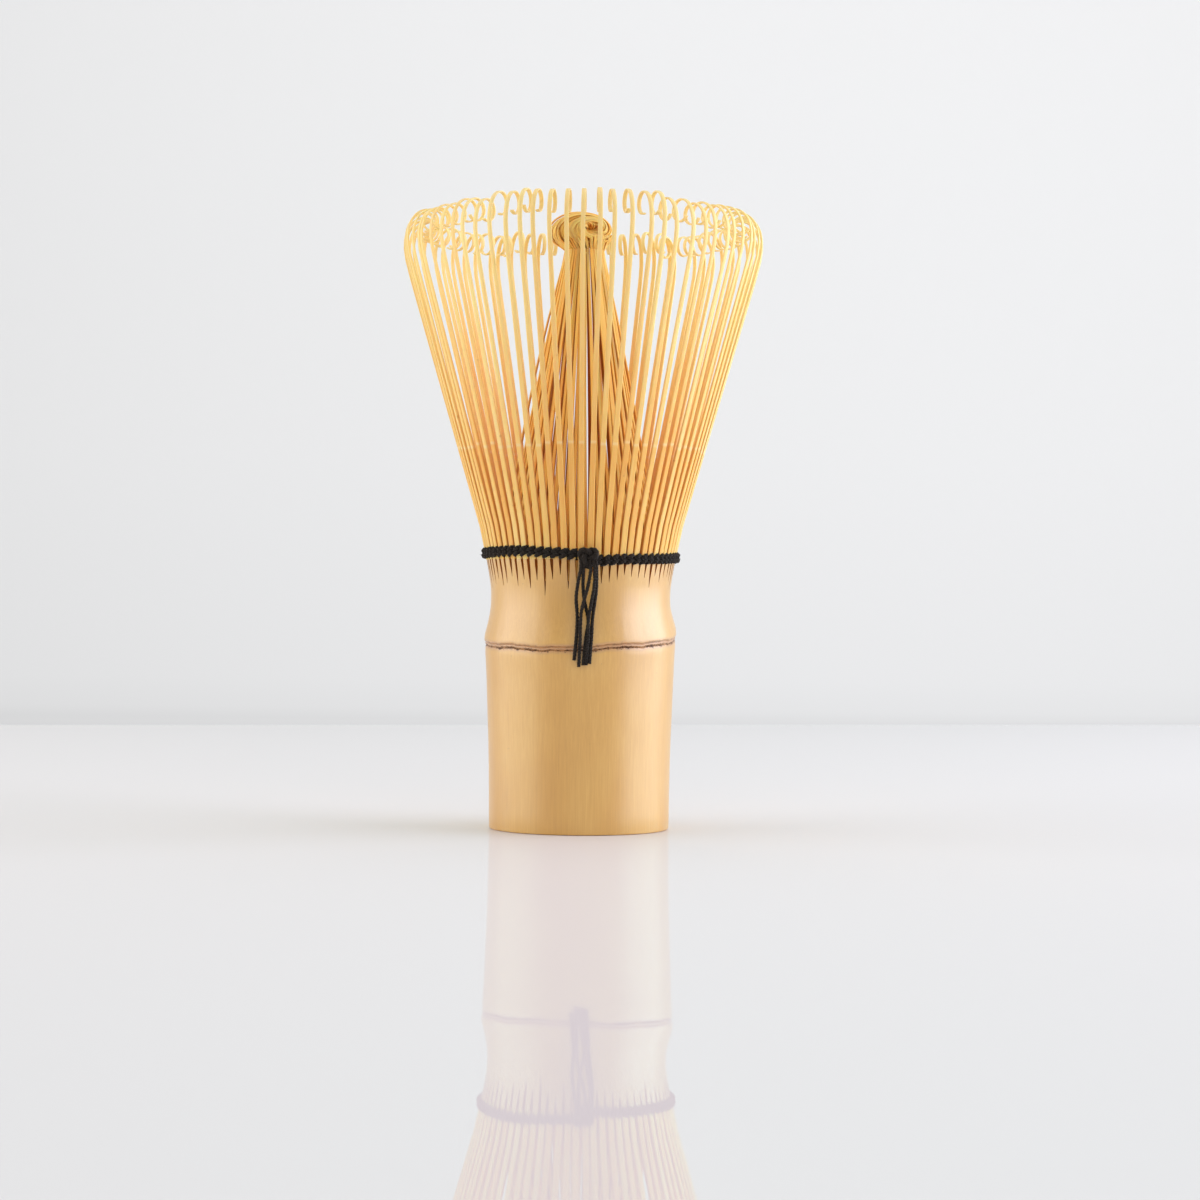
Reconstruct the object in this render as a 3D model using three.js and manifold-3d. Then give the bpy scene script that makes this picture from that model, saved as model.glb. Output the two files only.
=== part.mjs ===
// A bamboo tea whisk (chasen), in millimetres, +Z up, standing on its foot with the origin under its axis.
// It is one section of bamboo culm. The lower part is the handle. Above it the wall is split into strips:
// every second strip is an outer tine, which flares outwards and curls in at its tip, and the strips between
// them are the inner tines, which lean inwards and twist together in a knot of their own tips.
// A black thread is woven round the feet of the outer tines, knotted in front (-Y), and its ends hang down.
import * as THREE from "three";
import { mergeVertices } from "three/addons/utils/BufferGeometryUtils.js";
import Module from "manifold-3d";

const wasm = await Module();
wasm.setup();

const CLEARANCE = 0.3; // between any two solids that would touch

// The handle
const CULM_RADIUS = 15.45; // outside, where the splitting starts
const CULM_WALL = 3.3;
const HANDLE_LENGTH = 42; // foot to the start of the slits
const FOOT_TAPER = 0.15; // the foot is this much thinner in radius than the split end
const FOOT_CHAMFER = 0.5;
const NODE_BELOW_SLITS = 11.2; // from the slits down to the scar of the culm's joint
const NODE_RIDGE = 0.85; // how far the joint stands out
const WAIST_DEPTH = 0.2;
const WAIST_BELOW_SLITS = 3;
const DIAPHRAGM = 2.5; // the wall across the culm at its joint
const CULM_SIDES = 36;

// The outer tines
const TINE_COUNT = 72;
const TINES_PER_GROUP = 3;
const TINE_GAP = 0.44; // between neighbours, at the thread
const TINE_ROOT_THICKNESS = 0.75;
const TINE_TIP_THICKNESS = 0.3;
const TINE_TIP_WIDTH = 0.6;
const ROOT_TILT = 5; // degrees from upright, at the root
const FLARE_TILT = 15.6; // degrees, along the straight stretch
const FLARE_LENGTH = 10; // the stretch in which the tine leans over to its flare
const STRAIGHT_END = 47; // along the tine, where it starts to turn inwards
const CURL_LENGTH = 21; // the stretch in which the turn tightens to the curl
const CURL_TIGHTENING = 3.2; // power of that tightening
const CURL_RADIUS = 1.9;
const CURL_END = -330; // degrees from upright, at the tip
const ROOT_WEB_HEIGHT = 1.2; // the unsplit wall under the slits, left on each group
const ROOT_WEB_THICKNESS = 1.25;

// The inner tines
const INNER_TINES_PER_GROUP = 6;
const INNER_SET_IN = 1.9; // from the culm's outside to the inner tines' outside
const INNER_ROOT_WIDTH = 0.45;
const INNER_TIP_WIDTH = 0.25;
const INNER_ROOT_THICKNESS = 0.55;
const INNER_TIP_THICKNESS = 0.28;
const INNER_UPRIGHT = 2.6; // the stretch that stays upright inside the thread
const INNER_WEB_THICKNESS = 0.9;
const CONE_TIP_RADIUS = 4.6; // outside radius of the cone where it enters the knot of tips
const CONE_HEIGHT = 56.2; // from the slits to the top of the cone
const TIP_SPREAD = 0.92; // how close the strips of one group draw together at the top

// The knot of the inner tines' tips: a twisted ring, flattened, with its eye turned to the front and right
const TIP_KNOT_RING = 3.7; // radius of the ring's middle line
const TIP_KNOT_ROLL = 2.1; // radius of its roll
const TIP_KNOT_FLATTENING = 0.55;
const TIP_KNOT_EYE = new THREE.Vector3(0.6, -0.75, 0.25);

// The thread
const THREAD_ABOVE_SLITS = 4.5; // middle of the woven band
const THREAD_BAND_HEIGHT = 2.4;
const THREAD_BAND_THICKNESS = 0.8;
const THREAD_KNOT_HALF = new THREE.Vector3(2.2, 1.05, 2.15);
const THREAD_KNOT_OFFSET = 1.7; // from the front middle, to the right
const STRAND_RADIUS = 0.27;
const STRAND_SIDES = 8;
const STRAND_STEPS = 8;
// Each hanging end runs through four points. "across" is how far right of the axis they are, from the knot
// down; "end" is how far below the slits it ends; "layer" is how many strands it lies in front of.
const STRANDS = [
  { across: [-0.35, -0.75, -1.05, -1.35], end: 13.4, layer: 0 },
  { across: [0.35, 0.15, -0.2, -0.6], end: 14.5, layer: 0 },
  { across: [1.25, 0.35, 0.75, 0.45], end: 14.3, layer: 1 },
  { across: [2.45, 1.9, 1.4, 1.3], end: 13.9, layer: 0 },
  { across: [3.2, 2.75, 2.3, 2.15], end: 13.6, layer: 0 },
];

const rootHeight = HANDLE_LENGTH + CLEARANCE;
const nodeHeight = HANDLE_LENGTH - NODE_BELOW_SLITS;
const threadHeight = HANDLE_LENGTH + THREAD_ABOVE_SLITS;
const pitch = (2 * Math.PI) / TINE_COUNT;
const innerRadius = CULM_RADIUS - INNER_SET_IN;
const coneTop = HANDLE_LENGTH + CONE_HEIGHT;

const handleBamboo = new THREE.MeshStandardMaterial({ color: 0xd2a566, roughness: 0.42, metalness: 0 });
const tineBamboo = new THREE.MeshStandardMaterial({ color: 0xe8c383, roughness: 0.5, metalness: 0 });
const innerBamboo = new THREE.MeshStandardMaterial({ color: 0xd9a862, roughness: 0.55, metalness: 0 });
const blackThread = new THREE.MeshStandardMaterial({ color: 0x14151c, roughness: 0.85, metalness: 0 });

const whisk = new THREE.Group();

function addPart(name, geometry, material) {
  const mesh = new THREE.Mesh(geometry, material);
  mesh.name = name;
  whisk.add(mesh);
}

function numbered(name, index) {
  return name + "_" + String(index + 1).padStart(2, "0");
}

// Joins several closed geometries into one.
function joined(geometries) {
  const solids = geometries.map((geometry) => {
    const bare = geometry.clone();
    bare.deleteAttribute("normal");
    bare.deleteAttribute("uv");
    const merged = mergeVertices(bare, 1e-4);
    return new wasm.Manifold(
      new wasm.Mesh({
        numProp: 3,
        vertProperties: merged.getAttribute("position").array,
        triVerts: new Uint32Array(merged.index.array),
      }),
    );
  });
  const result = solids.reduce((all, solid) => all.add(solid)).getMesh();
  const geometry = new THREE.BufferGeometry();
  geometry.setAttribute("position", new THREE.BufferAttribute(result.vertProperties, 3));
  geometry.setIndex(new THREE.BufferAttribute(result.triVerts, 1));
  geometry.computeVertexNormals();
  return geometry;
}

// A closed ring or cup turned about the Z axis from a profile of [radius, height] points.
function turned(profile, sides) {
  const points = profile.map(([radius, height]) => new THREE.Vector2(radius, height));
  return new THREE.LatheGeometry(points, sides).rotateX(Math.PI / 2);
}

// A flat strip bent along its stations. A station gives its outer face's radius and height, its tilt from
// upright, its azimuth, and the strip's width and thickness there.
function strip(stations) {
  const last = stations.length - 1;
  const box = new THREE.BoxGeometry(1, 1, 1, 1, 1, last);
  const position = box.getAttribute("position");
  for (let i = 0; i < position.count; i++) {
    const station = stations[Math.round((position.getZ(i) + 0.5) * last)];
    const depth = (0.5 - position.getX(i)) * station.thickness;
    const across = position.getY(i) * station.width;
    const radius = station.radius - depth * Math.cos(station.tilt);
    const height = station.height + depth * Math.sin(station.tilt);
    const cos = Math.cos(station.azimuth);
    const sin = Math.sin(station.azimuth);
    position.setXYZ(i, radius * cos - across * sin, radius * sin + across * cos, height);
  }
  return box;
}

// The unsplit piece of wall that joins the strips of one group at their roots.
function rootWeb(outerRadius, thickness, height, azimuth, span) {
  const inner = outerRadius - thickness;
  const half = span / 2 - CLEARANCE / 2 / inner;
  const sector = new THREE.Shape();
  sector.absarc(0, 0, outerRadius, azimuth - half, azimuth + half, false);
  sector.absarc(0, 0, inner, azimuth + half, azimuth - half, true);
  sector.closePath();
  const web = new THREE.ExtrudeGeometry(sector, { depth: height, bevelEnabled: false, curveSegments: 2 });
  return web.translate(0, 0, rootHeight);
}

// ---- The handle: bored from below up to the wall at the joint, and open as a cup above it ----
{
  const bore = CULM_RADIUS - CULM_WALL;
  const foot = CULM_RADIUS - FOOT_TAPER;
  const profile = [
    [bore, 0],
    [foot - FOOT_CHAMFER, 0],
    [foot, FOOT_CHAMFER],
    [CULM_RADIUS, nodeHeight - 16],
    [CULM_RADIUS + 0.5, nodeHeight - 4],
    [CULM_RADIUS + NODE_RIDGE - 0.1, nodeHeight - 2],
    [CULM_RADIUS + NODE_RIDGE - 0.25, nodeHeight],
    [CULM_RADIUS + NODE_RIDGE, nodeHeight + 2],
    [CULM_RADIUS + 0.3, nodeHeight + 4.2],
    [CULM_RADIUS - WAIST_DEPTH, HANDLE_LENGTH - WAIST_BELOW_SLITS],
    [CULM_RADIUS, HANDLE_LENGTH],
    [bore, HANDLE_LENGTH],
    [bore, nodeHeight + DIAPHRAGM / 2],
    [0, nodeHeight + DIAPHRAGM / 2],
    [0, nodeHeight - DIAPHRAGM / 2],
    [bore, nodeHeight - DIAPHRAGM / 2],
    [bore, 0],
  ];
  addPart("handle", turned(profile, CULM_SIDES), handleBamboo);
}

// ---- The outer tines ----
// The line of a tine's outer face, from its root to the tip of its curl, in the plane through the axis.
function tineLine() {
  const step = 0.05;
  const line = [];
  let radius = CULM_RADIUS;
  let height = rootHeight;
  let tilt = THREE.MathUtils.degToRad(ROOT_TILT);
  for (let along = 0; tilt > THREE.MathUtils.degToRad(CURL_END); along += step) {
    line.push({ along, radius, height, tilt });
    if (along < FLARE_LENGTH) {
      const share = along / FLARE_LENGTH;
      tilt = THREE.MathUtils.degToRad(ROOT_TILT + (FLARE_TILT - ROOT_TILT) * share * (2 - share));
    } else if (along > STRAIGHT_END) {
      const share = Math.min(1, (along - STRAIGHT_END) / CURL_LENGTH);
      tilt -= (share ** CURL_TIGHTENING / CURL_RADIUS) * step;
    }
    radius += Math.sin(tilt) * step;
    height += Math.cos(tilt) * step;
  }
  return line;
}

// Stations along that line, closer together where it turns, with the strip's section at each.
function tineStations() {
  const farthest = 20; // mm between stations on a straight stretch
  const sharpest = THREE.MathUtils.degToRad(42); // turn between stations
  const line = tineLine();
  const chosen = [line[0]];
  for (const point of line) {
    const last = chosen.at(-1);
    const apart = (point.along - last.along) / farthest + Math.abs(point.tilt - last.tilt) / sharpest;
    if (apart >= 1 || point === line.at(-1)) chosen.push(point);
  }
  const rootWidth = pitch * CULM_RADIUS - TINE_GAP;
  return chosen.map((point) => {
    const share = Math.min(1, point.along / (STRAIGHT_END + CURL_LENGTH / 2));
    return {
      ...point,
      width: THREE.MathUtils.lerp(rootWidth, TINE_TIP_WIDTH, share),
      thickness: THREE.MathUtils.lerp(TINE_ROOT_THICKNESS, TINE_TIP_THICKNESS, share),
    };
  });
}

const outerStations = tineStations();

// The tines' outer radius and thickness at a height below the curls.
function tineAt(height) {
  const above = outerStations.findIndex((station) => station.height > height);
  const high = outerStations[above];
  const low = outerStations[above - 1];
  const share = (height - low.height) / (high.height - low.height);
  return {
    radius: THREE.MathUtils.lerp(low.radius, high.radius, share),
    thickness: THREE.MathUtils.lerp(low.thickness, high.thickness, share),
  };
}

const groupSpan = pitch * TINES_PER_GROUP;
for (let group = 0; group < TINE_COUNT / TINES_PER_GROUP; group++) {
  const middle = group * groupSpan;
  const pieces = [rootWeb(CULM_RADIUS, ROOT_WEB_THICKNESS, ROOT_WEB_HEIGHT, middle, groupSpan)];
  for (let tine = 0; tine < TINES_PER_GROUP; tine++) {
    const azimuth = middle + (tine - (TINES_PER_GROUP - 1) / 2) * pitch;
    pieces.push(strip(outerStations.map((station) => ({ ...station, azimuth }))));
  }
  addPart(numbered("outer_tines", group), joined(pieces), tineBamboo);
}

// ---- The inner tines ----
// They start in the slits between the outer tines, stay upright inside the thread, and lean in to the cone.
const innerBend = rootHeight + INNER_UPRIGHT;
const lean = Math.atan2(CONE_TIP_RADIUS - innerRadius, coneTop - innerBend);

function innerStations(middle, offset) {
  const bends = [
    { height: rootHeight, tilt: 0 },
    { height: innerBend, tilt: lean / 2 },
    { height: coneTop, tilt: lean },
  ];
  return bends.map(({ height, tilt }) => {
    const share = Math.max(0, (height - innerBend) / (coneTop - innerBend));
    return {
      radius: THREE.MathUtils.lerp(innerRadius, CONE_TIP_RADIUS, share),
      height,
      tilt,
      azimuth: middle + offset * THREE.MathUtils.lerp(1, TIP_SPREAD, share),
      width: THREE.MathUtils.lerp(INNER_ROOT_WIDTH, INNER_TIP_WIDTH, share),
      thickness: THREE.MathUtils.lerp(INNER_ROOT_THICKNESS, INNER_TIP_THICKNESS, share),
    };
  });
}

const innerSpan = pitch * INNER_TINES_PER_GROUP;
for (let group = 0; group < TINE_COUNT / INNER_TINES_PER_GROUP; group++) {
  const middle = (group + 0.5) * innerSpan;
  const pieces = [rootWeb(innerRadius, INNER_WEB_THICKNESS, ROOT_WEB_HEIGHT, middle, innerSpan)];
  for (let tine = 0; tine < INNER_TINES_PER_GROUP; tine++) {
    const offset = (tine - (INNER_TINES_PER_GROUP - 1) / 2) * pitch;
    pieces.push(strip(innerStations(middle, offset)));
  }
  addPart(numbered("inner_tines", group), joined(pieces), innerBamboo);
}

// ---- The knot of their tips ----
{
  const ring = new THREE.TorusGeometry(TIP_KNOT_RING, TIP_KNOT_ROLL, 8, 16);
  const facing = new THREE.Quaternion().setFromUnitVectors(
    new THREE.Vector3(0, 0, 1),
    TIP_KNOT_EYE.clone().normalize(),
  );
  ring.applyQuaternion(facing).scale(1, 1, TIP_KNOT_FLATTENING);
  ring.computeBoundingBox();
  const lift = coneTop + CLEARANCE - ring.boundingBox.min.z;
  addPart("inner_tip_knot", ring.translate(0, 0, lift), innerBamboo);
}

// ---- The thread ----
const bandLow = threadHeight - THREAD_BAND_HEIGHT / 2;
const bandHigh = threadHeight + THREAD_BAND_HEIGHT / 2;

// Outside the outer tines, following their flare.
{
  const low = tineAt(bandLow).radius + CLEARANCE;
  const high = tineAt(bandHigh).radius + CLEARANCE;
  const bulge = THREAD_BAND_THICKNESS;
  const profile = [
    [low, bandLow],
    [low + bulge * 0.7, bandLow],
    [low + bulge, bandLow + THREAD_BAND_HEIGHT / 4],
    [high + bulge, bandHigh - THREAD_BAND_HEIGHT / 4],
    [high + bulge * 0.7, bandHigh],
    [high, bandHigh],
    [low, bandLow],
  ];
  addPart("thread_wrap_outer", turned(profile, CULM_SIDES), blackThread);
}

// Inside them, filling the space up to the inner tines.
{
  const backOf = (height) => {
    const tine = tineAt(height);
    return tine.radius - tine.thickness - CLEARANCE;
  };
  const inner = innerRadius + CLEARANCE;
  const profile = [
    [inner, bandLow],
    [backOf(bandLow), bandLow],
    [backOf(bandHigh), bandHigh],
    [inner, bandHigh],
    [inner, bandLow],
  ];
  addPart("thread_wrap_inner", turned(profile, CULM_SIDES), blackThread);
}

// The knot lies on the band in front, a little right of the middle.
const highBand = tineAt(bandHigh).radius + CLEARANCE + THREAD_BAND_THICKNESS;
const knotDepth = highBand + CLEARANCE + THREAD_KNOT_HALF.y;
{
  const knot = new THREE.SphereGeometry(1, 12, 8);
  knot.scale(THREAD_KNOT_HALF.x, THREAD_KNOT_HALF.y, THREAD_KNOT_HALF.z);
  addPart("thread_knot", knot.translate(THREAD_KNOT_OFFSET, -knotDepth, threadHeight), blackThread);
}

// The ends of the thread hang from the knot over the joint of the culm.
STRANDS.forEach((strand, index) => {
  const restDepth = CULM_RADIUS + NODE_RIDGE + CLEARANCE + STRAND_RADIUS;
  const crossing = strand.layer * (2 * STRAND_RADIUS + CLEARANCE);
  const top = threadHeight - THREAD_KNOT_HALF.z - CLEARANCE - STRAND_RADIUS;
  const bottom = HANDLE_LENGTH - strand.end;
  const heights = [top, top - (top - bottom) / 3, top - ((top - bottom) * 2) / 3, bottom];
  const depths = [knotDepth - 0.6, restDepth + 0.5 + crossing, restDepth + 0.1 + crossing, restDepth];
  const points = heights.map((height, i) => new THREE.Vector3(strand.across[i], -depths[i], height));
  const section = new THREE.Shape();
  for (let side = 0; side < STRAND_SIDES; side++) {
    const angle = (side * 2 * Math.PI) / STRAND_SIDES;
    const place = [STRAND_RADIUS * Math.cos(angle), STRAND_RADIUS * Math.sin(angle)];
    if (side === 0) section.moveTo(...place);
    else section.lineTo(...place);
  }
  section.closePath();
  const tube = new THREE.ExtrudeGeometry(section, {
    steps: STRAND_STEPS,
    extrudePath: new THREE.CatmullRomCurve3(points),
  });
  addPart(numbered("thread_tail", index), tube, blackThread);
});

export default whisk;
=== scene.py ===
import math
import random

import bmesh
import bpy
from mathutils import Matrix, Vector


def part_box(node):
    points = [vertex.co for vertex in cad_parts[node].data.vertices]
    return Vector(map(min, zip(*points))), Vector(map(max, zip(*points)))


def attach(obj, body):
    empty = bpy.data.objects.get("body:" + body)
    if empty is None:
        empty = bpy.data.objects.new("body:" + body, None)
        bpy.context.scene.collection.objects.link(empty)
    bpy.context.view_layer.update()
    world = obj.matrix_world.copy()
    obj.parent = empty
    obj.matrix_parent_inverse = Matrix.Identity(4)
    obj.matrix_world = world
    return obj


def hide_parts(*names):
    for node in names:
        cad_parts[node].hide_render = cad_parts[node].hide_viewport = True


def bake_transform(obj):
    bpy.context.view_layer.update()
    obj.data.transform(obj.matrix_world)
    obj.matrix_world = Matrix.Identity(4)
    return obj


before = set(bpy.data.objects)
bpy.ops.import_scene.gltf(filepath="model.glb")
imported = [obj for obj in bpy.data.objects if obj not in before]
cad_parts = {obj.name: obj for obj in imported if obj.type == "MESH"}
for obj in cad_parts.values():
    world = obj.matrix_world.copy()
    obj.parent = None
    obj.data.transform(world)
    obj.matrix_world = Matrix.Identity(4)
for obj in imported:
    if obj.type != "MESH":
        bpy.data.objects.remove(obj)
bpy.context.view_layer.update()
MM = 0.001

# ---- The camera -------------------------------------------------------------------------------------------
# It stands level in front of the whisk, low down, a little to the right, and rolled by half a degree, since
# the whisk leans by that much on its table.
camera_data = bpy.data.cameras.new("camera")
camera_data.lens = 80.6
camera_data.sensor_width = 36
camera_data.clip_start = 0.01
camera = bpy.data.objects.new("camera", camera_data)
camera.location = (3.3 * MM, -458 * MM, 38.9 * MM)
camera.rotation_euler = (math.radians(90), math.radians(-0.5), 0)
bpy.context.scene.collection.objects.link(camera)
bpy.context.scene.camera = camera


# ---- The table and the wall behind it ---------------------------------------------------------------------
# A white gloss table whose far edge shows as a soft line, and a pale wall that glows, with painted shade on
# it, neither part of the whisk.
# The table is turned, so that its edge looks level from the rolled camera.
class Shade:
    """A value on its way through a material. Arithmetic on it adds Math nodes."""

    def __init__(self, tree, socket=None):
        self.tree = tree
        self.socket = socket

    def node(self, kind, settings=None, sockets=None, output=0):
        """Adds any other node: its settings, then the values or links of its sockets."""
        made = self.tree.nodes.new(kind)
        for name, setting in (settings or {}).items():
            if name == "stops":
                ramp = made.color_ramp.elements
                while len(ramp) < len(setting):
                    ramp.new(0.5)
                for element, (place, colour) in zip(ramp, setting):
                    element.position = place
                    element.color = (*colour, 1)
            else:
                setattr(made, name, setting)
        for name, value in (sockets or {}).items():
            if isinstance(value, Shade):
                self.tree.links.new(value.socket, made.inputs[name])
            else:
                made.inputs[name].default_value = value
        return Shade(self.tree, made.outputs[output])

    def math(self, operation, first, second=0.0):
        return self.node("ShaderNodeMath", {"operation": operation}, {0: first, 1: second})

    def __add__(self, other):
        return self.math("ADD", self, other)

    def __sub__(self, other):
        return self.math("SUBTRACT", self, other)

    def __rsub__(self, other):
        return self.math("SUBTRACT", other, self)

    def __mul__(self, other):
        return self.math("MULTIPLY", self, other)

    __radd__ = __add__
    __rmul__ = __mul__


def new_finish(name, **constants):
    """A material, the start of its shader and its main node, with that node's even values set."""
    material = bpy.data.materials.new(name)
    material.use_nodes = True
    surface = material.node_tree.nodes["Principled BSDF"]
    for socket, value in constants.items():
        surface.inputs[socket.replace("_", " ")].default_value = value
    return material, Shade(material.node_tree), surface


def feed(surface, name, shade):
    shade.tree.links.new(shade.socket, surface.inputs[name])


def ramped(shade, value, *stops):
    """A value or colour that follows value through the stops."""
    stops = [(place, tone[:3] if isinstance(tone, tuple) else (tone,) * 3) for place, tone in stops]
    return shade.node("ShaderNodeValToRGB", {"stops": stops}, {"Fac": value})


bpy.ops.object.select_all(action="DESELECT")
bpy.ops.mesh.primitive_plane_add(size=1)
table = bpy.context.object
table.name = "table"
table.scale = (3.0, 1.6, 1)
table.location = (0.146, -0.41, 0)
table.rotation_euler = (0, 0, math.radians(10.5))
bpy.ops.object.transform_apply(location=True, rotation=True, scale=True)
TABLE_TONE = (0.855, 0.77, 0.796, 1)
MIRROR_TONE = (0.65, 1, 0.88, 1)
MIRROR_SHARE = 0.22
table_gloss, shade, surface = new_finish("table_gloss", Base_Color=TABLE_TONE, Roughness=0.6)
surface.inputs["Specular IOR Level"].default_value = 0
matt = Shade(shade.tree, surface.outputs[0])
mirror = shade.node("ShaderNodeBsdfGlossy", {}, {"Color": MIRROR_TONE, "Roughness": 0.01})
both = shade.node("ShaderNodeMixShader", {}, {0: MIRROR_SHARE, 1: matt, 2: mirror})
shade.tree.links.new(both.socket, shade.tree.nodes["Material Output"].inputs["Surface"])
table.data.materials.append(table_gloss)

bpy.ops.object.select_all(action="DESELECT")
bpy.ops.mesh.primitive_plane_add(size=3.2, location=(0, 1.1, 0.6), rotation=(math.radians(90), 0, 0))
wall = bpy.context.object
wall.name = "wall"
bpy.ops.object.transform_apply(location=True, rotation=True)
wall_glow_and_shade, shade, surface = new_finish("wall_glow_and_shade", Roughness=0.9, Emission_Strength=0.4)
where = shade.node("ShaderNodeTexCoord", output="Object")
across_wall = shade.node("ShaderNodeSeparateXYZ", {}, {"Vector": where}, output="X")
up_wall = shade.node("ShaderNodeSeparateXYZ", {}, {"Vector": where}, output="Z")
# Painted shade: the wall's glow is darkest just over the table's edge and on the left.
pale = ramped(
    shade, up_wall * 2.4 + 0.073, (0.0, 0.845), (0.014, 0.889), (0.055, 0.918), (0.37, 0.955), (1.0, 0.985)
)
pale = pale + across_wall * 0.1
feed(surface, "Emission Color", pale)
feed(surface, "Base Color", pale * 0.62)
wall.data.materials.append(wall_glow_and_shade)


# ---- The light --------------------------------------------------------------------------------------------
# Two large soft panels stand a little behind the whisk, the right one nearer, with a weak one in front and
# one above, in a pale room.
def soft_panel(name, place, size, power, tone=(1, 1, 1)):
    panel = bpy.data.lights.new(name, "AREA")
    panel.shape = "RECTANGLE"
    panel.size, panel.size_y = size
    panel.energy = power
    panel.color = tone
    lamp = bpy.data.objects.new(name, panel)
    lamp.location = place
    towards = Vector((0, 0, 0.055)) - Vector(place)
    lamp.rotation_euler = towards.to_track_quat("-Z", "Y").to_euler()
    bpy.context.scene.collection.objects.link(lamp)


soft_panel("panel_right", (0.75, -0.01, 0.2), (0.95, 0.7), 7.4, (0.945, 0.985, 1.1))
soft_panel("panel_left", (-0.75, -0.07, 0.2), (0.95, 0.7), 4.7, (1, 0.98, 0.93))
soft_panel("panel_above", (0.0, 0.1, 1.0), (0.9, 0.9), 2.7)
soft_panel("panel_front", (0.1, -0.9, 0.5), (0.7, 0.7), 0.8)
room = bpy.data.worlds.new("room")
room.use_nodes = True
room.node_tree.nodes["Background"].inputs["Color"].default_value = (1, 1, 1, 1)
room.node_tree.nodes["Background"].inputs["Strength"].default_value = 0.37
bpy.context.scene.world = room
bpy.context.scene.view_settings.view_transform = "Standard"

# ---- The culm ---------------------------------------------------------------------------------------------
# One section of bamboo, sawn below a joint of the culm. The foot is bored, and the joint's own wall crosses
# it. Above the joint the culm is pared thin from inside and slit from the top, the first step to the tines.
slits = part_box("handle")[1].z
thread_low, thread_high = (corner.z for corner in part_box("thread_wrap_outer"))
TINE_COUNT = 72
PITCH = math.tau / TINE_COUNT
# Turned this much round, the tines behind close most of the gaps between those in front.
TINE_TURN = math.radians(0.4)
ROOT_RADIUS = 15.45 * MM
STUB_TOP = (thread_low + thread_high) / 2
SCAR_HEIGHT = 32.35 * MM
CULM_SIDES = 288
SKIN_RADIUS = 14.9 * MM
CUP_FLOOR = 30 * MM
SLITS_BOTTOM = 36 * MM
WEDGE_MIDDLE = 15.4 * MM
WEDGE_LENGTH = 4.6 * MM


def smooth_line(points, spans):
    """Points along a curve that passes through all the given ones."""
    line = []
    for i in range(len(points) - 1):
        before = points[max(i - 1, 0)]
        start, end = points[i], points[i + 1]
        after = points[min(i + 2, len(points) - 1)]
        for step in range(spans):
            t = step / spans
            line.append(
                0.5
                * (
                    2 * start
                    + (end - before) * t
                    + (2 * before - 5 * start + 4 * end - after) * t**2
                    + (3 * start - before - 3 * end + after) * t**3
                )
            )
    return line + [points[-1]]


def culm_outline():
    """From the middle of the joint's wall, down the bore, up the outside and down into the cup."""
    scar = SCAR_HEIGHT / MM
    below = [(0, 30), (6, 29.9), (10.2, 29.4), (11.7, 28), (12, 26), (12, 14), (12.05, 1.2), (12.4, 0.12)]
    foot = [(12.6, 0), (14.95, 0), (15.2, 0.1), (15.3, 0.4)]
    lower = [(15.33, 3), (15.38, 8), (15.5, 14), (15.72, 20), (15.92, 25.5), (16.08, scar - 3.2)]
    joint = [
        (16.16, scar - 1.8), (16.15, scar - 1.1), (16.13, scar - 0.8), (16.05, scar - 0.66),
        (15.93, scar - 0.56), (16.06, scar - 0.46), (16.14, scar - 0.36), (16.17, scar - 0.22),
        (16.12, scar - 0.1), (16.04, scar), (16.2, scar + 0.1), (16.31, scar + 0.22),
        (16.33, scar + 0.5), (16.24, scar + 1.3), (15.98, scar + 2.3), (15.62, scar + 3.7),
    ]
    upper = [(15.33, 37.6), (15.25, 39.2), (15.3, 40.8), (15.46, 42.1), (15.72, 43.7), (16.02, 45.3)]
    top = [(16.17, STUB_TOP / MM), (15.4, STUB_TOP / MM)]
    cup = [(15.1, 44.5), (14.6, 42.6), (13.6, 40), (12.5, 36.6), (12, 34)]
    floor = [(10.5, 32.8), (6, 32.5), (0, 32.4)]
    smooth = [Vector((r, z)) for r, z in lower + joint + upper]
    corners = [[Vector((r, z)) for r, z in part] for part in (below, foot, top, cup + floor)]
    spans = smooth_line(smooth, 3)
    return corners[0] + corners[1] + spans + corners[2] + corners[3]


def lathe(name, outline, sides):
    """Turns an outline of radius and height about the upright axis."""
    bpy.ops.object.select_all(action="DESELECT")
    bpy.ops.mesh.primitive_plane_add(size=0.001)
    piece = bpy.context.object
    piece.name = name
    bpy.ops.object.mode_set(mode="EDIT")
    bpy.ops.mesh.merge(type="CENTER")
    place = outline[0]
    bpy.ops.transform.translate(value=(place.x, 0, place.y))
    for point in outline[1:]:
        step = point - place
        bpy.ops.mesh.extrude_region_move(TRANSFORM_OT_translate={"value": (step.x, 0, step.y)})
        place = point
    bpy.ops.mesh.select_all(action="SELECT")
    bpy.ops.mesh.spin(steps=sides, angle=math.tau, center=(0, 0, 0), axis=(0, 0, 1))
    bpy.ops.mesh.select_all(action="SELECT")
    bpy.ops.mesh.remove_doubles(threshold=1e-6)
    bpy.ops.mesh.normals_make_consistent(inside=False)
    bpy.ops.object.mode_set(mode="OBJECT")
    return piece


def eased(share):
    share = min(1, max(0, share))
    return share * share * (3 - 2 * share)


def scar_shift(angle):
    """The joint isn't level: it dips in front, rises to the right, and waves a little."""
    tilt = 0.45 * math.cos(angle) + 1.15 * math.sin(angle)
    wave = 0.1 * math.sin(5 * angle + 1) + 0.07 * math.sin(11 * angle + 2) + 0.04 * math.sin(23 * angle)
    wave += 0.03 * math.sin(41 * angle + 3) + 0.025 * math.sin(67 * angle)
    return (tilt + wave) * MM


def only(piece):
    """Makes piece the one thing selected, and active."""
    bpy.ops.object.select_all(action="DESELECT")
    piece.select_set(True)
    bpy.context.view_layer.objects.active = piece


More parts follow.
